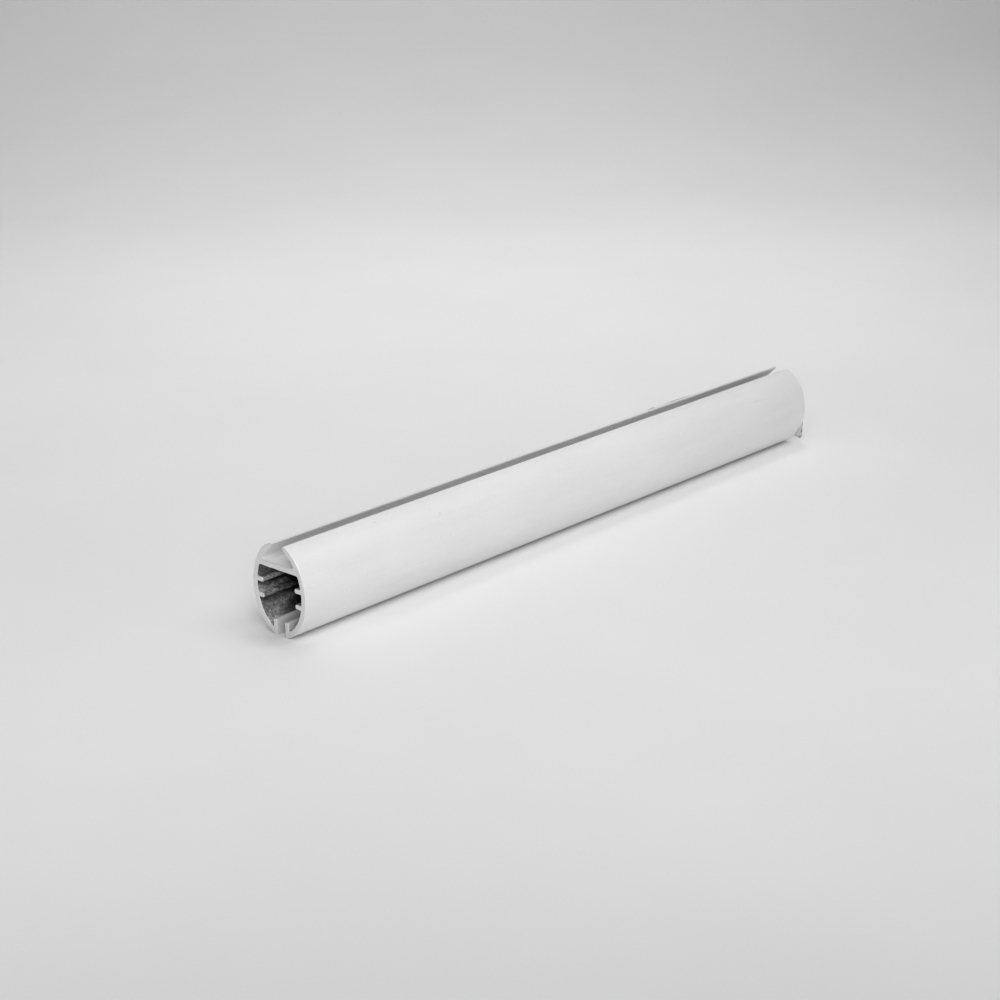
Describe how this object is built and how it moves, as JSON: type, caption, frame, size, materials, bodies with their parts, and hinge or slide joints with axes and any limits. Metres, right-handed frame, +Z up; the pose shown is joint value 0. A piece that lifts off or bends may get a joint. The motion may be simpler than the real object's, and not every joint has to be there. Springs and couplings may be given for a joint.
{
  "type": "roller blind bottom rail",
  "caption": "Bare sawn length of an oval, powder-coated aluminium bottom rail for a roller blind, with a spline channel on top, a ribbed chamber and an open slot below.",
  "frame": {"origin": "under the middle of the rail, on the surface that its two feet stand on", "axes": "+X along the rail, +Y across it, +Z up through the top slot"},
  "size_m": [0.268, 0.024, 0.03],
  "materials": {
    "powder_coat": "matt white powder coat on extruded aluminium, bare metal on the sawn ends and inside"
  },
  "bodies": {
    "root": {"bottom_rail": "powder_coat"}
  },
  "joints": []
}
